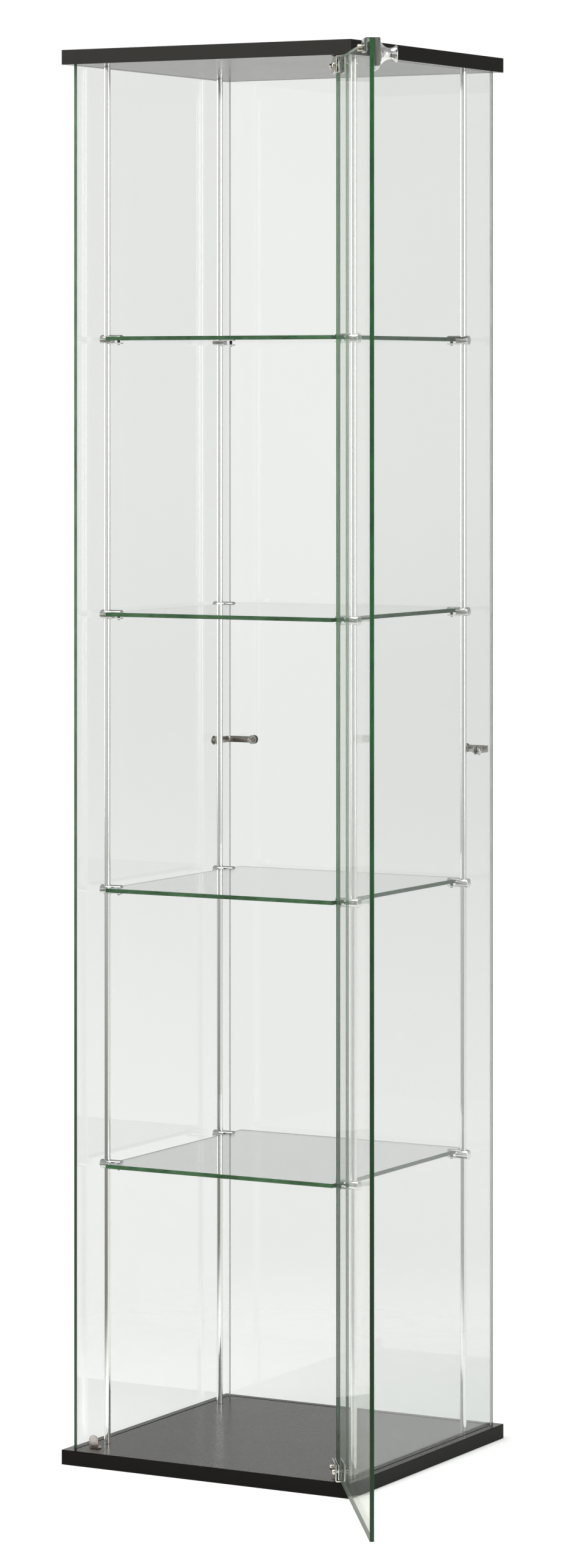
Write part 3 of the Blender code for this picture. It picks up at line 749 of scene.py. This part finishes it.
def strapHeadPiece():
    # a slotted dome on its washer, +Z pointing away from the glass
    s = strapSettings
    bm = bmesh.new()
    washer, head, top = s["washerThick"], s["headRadius"], s["washerThick"] + s["headRise"]
    dome = [(head * math.cos(a), washer + 0.5 + (s["headRise"] - 0.5) * math.sin(a))
            for a in (math.pi / 2 * i / 8 for i in range(8))]
    turn(bm, [(0, 0), (s["washerRadius"], 0), (s["washerRadius"], washer), (head, washer)] + dome + [(0, top)], 40)
    made = addObject("strapHeadPiece", meshFrom(bm, "strapHeadPiece"))
    bm = bmesh.new()
    block(bm, (-8, -s["slotWidth"] / 2, top - s["slotDepth"]), (8, s["slotWidth"] / 2, top + 2))
    return carve(made, bm, 0.12)


def strapNutPiece():
    # a washer, a small six-sided nut and the screw's tip standing out of it
    s = strapSettings
    washer, nut, tip = s["washerThick"], s["washerThick"] + s["nutLength"], s["tipLength"]
    bm = bmesh.new()
    turn(bm, [(0, 0), (s["washerRadius"], 0), (s["washerRadius"], washer), (0, washer)], 40)
    turn(bm, [(0, washer), (s["nutRadius"], washer), (s["nutRadius"], nut), (0, nut)], 6)
    turn(bm, [(0, nut), (s["tipRadius"], nut), (s["tipRadius"], tip - 0.5), (s["tipRadius"] - 0.5, tip), (0, tip)], 28)
    made = addObject("strapNutPiece", meshFrom(bm, "strapNutPiece"))
    soften(made, 0.15, 1, 40)
    return bake(made, "strapNutPiece")


for side in ("left", "right"):
    name = f"cornerStrap{side.title()}"
    rounded(f"corner_strap_{side}", name, strapSettings["edge"], "strap", "cabinet", "zinc_steel")

headSpots, nutSpots, strapNodes = [], [], []
for side, outward in (("left", -1), ("right", 1)):
    for wall, axis in (("side", Vector((outward, 0, 0))), ("rear", Vector((0, 1, 0)))):
        node = f"strap_screw_{side}_{wall}"
        low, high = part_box("back_pane" if wall == "rear" else f"{side}_pane")
        index = 1 if wall == "rear" else 0
        inner, outer = (low[index], high[index]) if axis[index] > 0 else (high[index], low[index])
        inside, outside = middleOf(node), middleOf(node)
        inside[index] = inner - axis[index] * 2.1 * mm
        outside[index] = outer + axis[index] * 0.3 * mm
        tilted = up + axis.cross(up) * 0.6
        nutSpots.append((inside, -axis, tilted))
        headSpots.append((outside, axis, tilted))
        strapNodes.append(node)
pieces = strapHeadPiece(), strapNutPiece()
spread("strapHeads", pieces[0], headSpots, "zinc", "cabinet", "zinc_steel", *strapNodes)
spread("strapNuts", pieces[1], nutSpots, "zinc", "cabinet", "zinc_steel")
for piece in pieces:
    dropObject(piece)
print("straps fixed")


stopSettings = {"edge": 0.3, "crossWidth": 0.6, "crossLength": 3.4}
rounded("stop_bracket", "stopBracket", stopSettings["edge"], "nickel", "cabinet", "warm_nickel")

low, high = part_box("stop_bumper")
centre = (low + high) / 2
radius = (high.x - low.x) / 2 / mm
thick = (high.y - low.y) / mm
bm = bmesh.new()
dome = [(radius * math.cos(a), thick * 0.8 * (1 - math.sin(a))) for a in (math.pi / 2 * i / 12 for i in range(12))]
turn(bm, [(0, thick), (radius, thick)] + dome + [(0, 0)], 48, aim((0, 1, 0), (centre.x, low.y, centre.z)))
bumper = addObject("stopBumper", smooth(meshFrom(bm, "stopBumper"), 50))
dress(bumper, looks["bumper"], "cabinet", "clear_rubber", "stop_bumper")

low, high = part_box("stop_screw")
centre = (low + high) / 2
seat = high.z - 2.1 * mm
bm = bmesh.new()
turn(bm, [(0, 0), (3.4, 0), (3.4, 0.6), (2.9, 1.3), (2.0, 1.9), (0, 2.1)], 36, aim(up, (centre.x, centre.y, seat)))
stopScrew = addObject("stopScrew", meshFrom(bm, "stopScrew"))
wide, long = stopSettings["crossWidth"] / 2, stopSettings["crossLength"] / 2
for halfX, halfY in ((wide, long), (long, wide)):
    bm = bmesh.new()
    block(bm, (-halfX, -halfY, 0.9), (halfX, halfY, 4))
    bmesh.ops.translate(bm, verts=bm.verts, vec=(centre.x, centre.y, seat))
    carve(stopScrew, bm)
smooth(stopScrew.data)
dress(stopScrew, looks["zinc"], "cabinet", "zinc_steel", "stop_screw")
print("door stop set")


for end in ("bottom", "top"):
    node = f"pivot_bush_{end}"
    low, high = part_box(node)
    centre = (low + high) / 2
    outward = -1 if end == "bottom" else 1
    face = high.z if outward < 0 else low.z
    depth = (high.z - low.z) / mm
    bm = bmesh.new()
    turn(bm, [(2.8, 0), (5.4, 0), (5.6, 0.15), (5.6, 0.2), (5, 0.2), (5, depth), (2.8, depth)], 48,
         aim(up * outward, (centre.x, centre.y, face)), closed=True)
    bush = addObject(f"pivotBush{end.title()}", smooth(meshFrom(bm, node)))
    dress(bush, looks["nylon"], "cabinet", "pivot_nylon", node)

hingeSettings = {
    "edge": 0.3, "plateEdge": 0.25,
    "headRadius": 3.4, "headRise": 3.5, "slotWidth": 0.85, "slotDepth": 1.3, "shank": 1.6,
    "seat": 3.6, "tipBack": 2.0,
    "tilts": {"bottom_1": 0.5, "bottom_2": -0.3, "top_1": 0.15, "top_2": 0.8},
}


def hingeScrewPiece(length):
    # slotted pan head, +Z pointing out of the head; length is from under the head to the tip
    s = hingeSettings
    bm = bmesh.new()
    head = s["headRadius"]
    dome = [(head * math.cos(a), s["headRise"] * 0.45 + s["headRise"] * 0.55 * math.sin(a))
            for a in (math.pi / 2 * i / 6 for i in range(7))]
    turn(bm, [(0, -length), (s["shank"] - 0.5, -length), (s["shank"], -length + 0.6), (s["shank"], 0), (head, 0)]
         + dome[:-1] + [(0, s["headRise"])], 36)
    made = addObject("hingeScrewPiece", meshFrom(bm, "hingeScrewPiece"))
    bm = bmesh.new()
    block(bm, (-8, -s["slotWidth"] / 2, s["headRise"] - s["slotDepth"]), (8, s["slotWidth"] / 2, s["headRise"] + 2))
    return carve(made, bm, 0.1)


for end in ("bottom", "top"):
    rounded(f"hinge_clamp_{end}", f"hingeClamp{end.title()}", hingeSettings["edge"], "hinge", "door", "warm_nickel")
    rounded(f"hinge_plate_{end}", f"hingePlate{end.title()}", hingeSettings["plateEdge"], "clip", "door", "zinc_steel")


def reach(node, axis):
    # how far a node reaches along an axis, at its least and its most
    along = [v.co.dot(axis) for v in frame["nodes"][node].data.vertices]
    return min(along), max(along)


hingeSpots, hingeNodes = [], []
for label, tilt in hingeSettings["tilts"].items():
    node = f"hinge_screw_{label}"
    least, most = reach(node, -doorOut)
    centre = middleOf(node)
    across = centre - doorOut * centre.dot(doorOut)
    along = [v.co.dot(doorAlong) for v in frame["nodes"][node].data.vertices]
    across = across + doorAlong * ((min(along) + max(along)) / 2 - across.dot(doorAlong))
    seat = across - doorOut * (most - hingeSettings["seat"] * mm)
    hingeSpots.append((seat, -doorOut, up + doorAlong * tilt))
    hingeNodes.append(node)
    shankLength = (most - least) / mm - hingeSettings["seat"] - hingeSettings["tipBack"]
hingeScrew = hingeScrewPiece(shankLength)
spread("hingeScrews", hingeScrew, hingeSpots, "hinge", "door", "warm_nickel", *hingeNodes)
dropObject(hingeScrew)
print("pivots hung")


knobSettings = {
    "base": 13.4, "waist": 6.5, "end": 9.75, "edge": 0.8, "rim": 0.9, "waistAt": 0.60,
    "clampEdge": 0.4, "lip": 5.0, "gasket": (27.0, 29.0, 0.26), "padDrop": 1.6,
    "screwShank": 1.9, "screwHead": 4.1, "screwHeadRise": 5.8, "screwSlot": 1.0, "screwSlotDepth": 1.6,
}
knobLow, knobHigh = reach("knob", doorOut)
knobMiddle = middleOf("knob")
alongMiddle = sum(reach("knob", doorAlong)) / 2
knobFoot = doorOut * knobLow + doorAlong * alongMiddle + up * knobMiddle.z
s = knobSettings
length = (knobHigh - knobLow) / mm
profile = [(0, 0), (s["base"] - 0.3, 0), (s["base"], 0.3), (s["base"], s["rim"])]
steps = 40
for step in range(steps + 1):
    share = step / steps
    if share < s["waistAt"]:
        radius = s["waist"] + (s["base"] - s["waist"]) * (1 - share / s["waistAt"]) ** 2.2
    else:
        radius = s["waist"] + (s["end"] - s["waist"]) * ((share - s["waistAt"]) / (1 - s["waistAt"])) ** 2
    profile.append((radius, s["rim"] + (length - s["rim"] - s["edge"] - 0.2) * share))
profile += [(s["end"] - s["edge"] * (1 - math.cos(a)), length - s["edge"] + s["edge"] * math.sin(a))
            for a in (math.pi / 2 * i / 5 for i in range(1, 6))]
profile += [(0, length)]
bm = bmesh.new()
turn(bm, profile, 72, aim(doorOut, knobFoot))
knob = addObject("pullKnob", smooth(meshFrom(bm, "pullKnob"), 40))
dress(knob, looks["knob"], "door", "rod_chrome", "knob")

# the clamp's lower end shows the clear lip of its lining
knobClamp = rounded("knob_clamp", "knobClamp", s["clampEdge"], "knobClamp", "door", "rod_chrome", 3)
knobClamp.data.materials.append(looks["lip"])
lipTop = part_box("knob_clamp")[0].z + s["lip"] * mm
bm = bmesh.new()
bm.from_mesh(knobClamp.data)
bmesh.ops.bisect_plane(bm, geom=bm.verts[:] + bm.edges[:] + bm.faces[:], plane_co=(0, 0, lipTop), plane_no=up)
for face in bm.faces:
    if face.calc_center_median().z < lipTop:
        face.material_index = 1
bm.to_mesh(knobClamp.data)
bm.free()

# a thin pad between the clamp's plate and the glass
wide, tall, thin = s["gasket"]
glassFace = reach("door_pane", doorOut)[1]
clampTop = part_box("knob_clamp")[1].z
padHeight = clampTop - (tall / 2 + s["padDrop"]) * mm
foot = doorOut * (glassFace + thin / 2 * mm + 0.00002) + doorAlong * alongMiddle + up * padHeight
bm = bmesh.new()
block(bm, (-wide / 2, -tall / 2, -thin / 2), (wide / 2, tall / 2, thin / 2))
bmesh.ops.transform(bm, matrix=aim(doorOut, foot), verts=bm.verts)
knobPad = addObject("knobPad", meshFrom(bm, "knobPad"))
dress(knobPad, looks["gasket"], "door", "rod_chrome")

least, most = reach("knob_screw", -doorOut)
centre = middleOf("knob_screw")
alongMiddle = sum(reach("knob_screw", doorAlong)) / 2
foot = -doorOut * least + doorAlong * alongMiddle + up * centre.z
length = (most - least) / mm
bm = bmesh.new()
shank, head, under = s["screwShank"], s["screwHead"], length - s["screwHeadRise"]
turn(bm, [(0, 0), (shank, 0), (shank, under), (head, under), (head, length - 0.7), (head - 0.2, length - 0.25),
          (head - 0.7, length), (0, length)], 48, aim(-doorOut, foot))
knobScrew = addObject("knobScrew", meshFrom(bm, "knobScrew"))
bm = bmesh.new()
block(bm, (-8, -s["screwSlot"] / 2, length - s["screwSlotDepth"]), (8, s["screwSlot"] / 2, length + 2))
bmesh.ops.transform(bm, matrix=aim(-doorOut, foot), verts=bm.verts)
carve(knobScrew, bm, 0.15)
smooth(knobScrew.data)
dress(knobScrew, looks["brass"], "door", "pale_brass", "knob_screw")
print("knob turned")


studio = {
    "floorRadius": 3.2, "floorFade": (0.5, 1.2),
    "floor": (0.94, 0.94, 0.935), "floorGlow": 0.36,
    "behind": (-0.487, 0.873), "beside": (0.873, 0.487),
    "wall": 1.03, "wallTop": (0.08, 0.23), "round": 0.78, "dimRight": 0.34, "ceiling": 0.42,
    "core": 0.08, "coreHigh": 0.30, "coreWidth": (0.05, 0.17), "coreAside": -0.02,
    "underBack": 1.16, "underLeft": (0.27, 0.265, 0.24), "underRight": (0.98, 0.98, 0.96),
    "aimedAt": 0.9,
    "boxes": {
        "leftBox": {"at": (-3.6, -1.6, 1.7), "size": (2.0, 2.6), "power": 40},
        "rightBox": {"at": (3.9, -0.6, 1.7), "size": (1.6, 2.6), "power": 36},
        "topBox": {"at": (-0.6, -1.4, 4.2), "size": (3.0, 2.4), "power": 95},
    },
}


def floorLook():
    # a pale floor that melts into the studio round it
    b = Builder("paleFloor")
    reach = b.node("VectorMath", {"operation": "LENGTH"}, {0: b.place()}, 1)
    fade = reach.between(*studio["floorFade"])
    haze = b.noise(1.5, 3, 0.5)
    matt = b.principled(
        Base_Color=studio["floor"], Roughness=haze * 0.1 + 0.75, IOR=1.3,
        Emission_Color=studio["floor"], Emission_Strength=studio["floorGlow"],
    )
    clear = b.node("BsdfTransparent")
    return b.finish(b.node("MixShader", sockets={0: fade, 1: matt, 2: clear}))


bm = bmesh.new()
bmesh.ops.create_circle(bm, cap_ends=True, segments=96, radius=studio["floorRadius"])
floorPiece = addObject("floor", meshFrom(bm, "floor"))
floorPiece.data.materials.append(floorLook())
floorPiece.location.z = cadBounds[0].z - 0.0002


def studioWorld():
    # a bright wall behind the case, paler ones round it, a dim ceiling, and a dark opening in front of it
    s = studio
    b = Builder("studio", world=True)
    across, deep, high = b.parts(b.node("TexCoord"))
    toBack = across * s["behind"][0] + deep * s["behind"][1]
    toRight = across * s["beside"][0] + deep * s["beside"][1]

    def grey(level):
        return level, level, level * 0.99

    sides = b.mix(high.between(0.12, 0.5), grey(s["round"]), grey(s["ceiling"]))
    ahead = (toBack * -1.0).over(0.0)
    core = (1 - (toRight - s["coreAside"]).maths("ABSOLUTE").between(*s["coreWidth"])) * ahead
    dark = b.mix(high.between(-0.06, 0.03), grey(s["core"]), grey(s["coreHigh"]))
    sides = b.mix(core, sides, dark)
    # a dim gap between the wall behind and the one on the right
    gap = toRight.between(0.62, 0.78) * toBack.between(0.2, 0.4)
    sides = b.mix(gap, sides, grey(s["dimRight"]))
    wall = toBack.between(0.6, 0.92) * (1 - high.between(*s["wallTop"]))
    upper = b.mix(wall, sides, grey(s["wall"]))
    lowFront = b.mix(toRight.between(0.1, 0.45), s["underLeft"], s["underRight"])
    lowFront = b.mix(core, lowFront, grey(s["core"]))
    lower = b.mix(toBack.between(-0.2, 0.5), lowFront, grey(s["underBack"]))
    colour = b.mix((high * -1.0).between(0.05, 0.16), upper, lower)
    return b.finish(b.node("Background", sockets={"Color": colour, "Strength": 1.0}))


bpy.context.scene.world = studioWorld()
for name, softBox in studio["boxes"].items():
    lamp = bpy.data.lights.new(name, "AREA")
    lamp.shape = "ELLIPSE"
    lamp.size, lamp.size_y = softBox["size"]
    lamp.energy = softBox["power"]
    hung = addObject(name, lamp)
    hung.location = softBox["at"]
    toCase = Vector((0, 0, studio["aimedAt"])) - Vector(softBox["at"])
    hung.rotation_euler = toCase.to_track_quat("-Z", "Y").to_euler()
bpy.context.scene.view_settings.view_transform = "Standard"

cameraSettings = {"at": (3.0441, -5.4589, 1.3038), "turn": 29.16, "lens": 116.55, "rise": -0.24989}
shot = bpy.data.cameras.new("camera")
shot.sensor_width = 36
shot.lens = cameraSettings["lens"]
shot.shift_y = cameraSettings["rise"]
camera = addObject("camera", shot)
camera.location = cameraSettings["at"]
camera.rotation_euler = (math.pi / 2, 0, math.radians(cameraSettings["turn"]))
bpy.context.scene.camera = camera
print("studio lit")
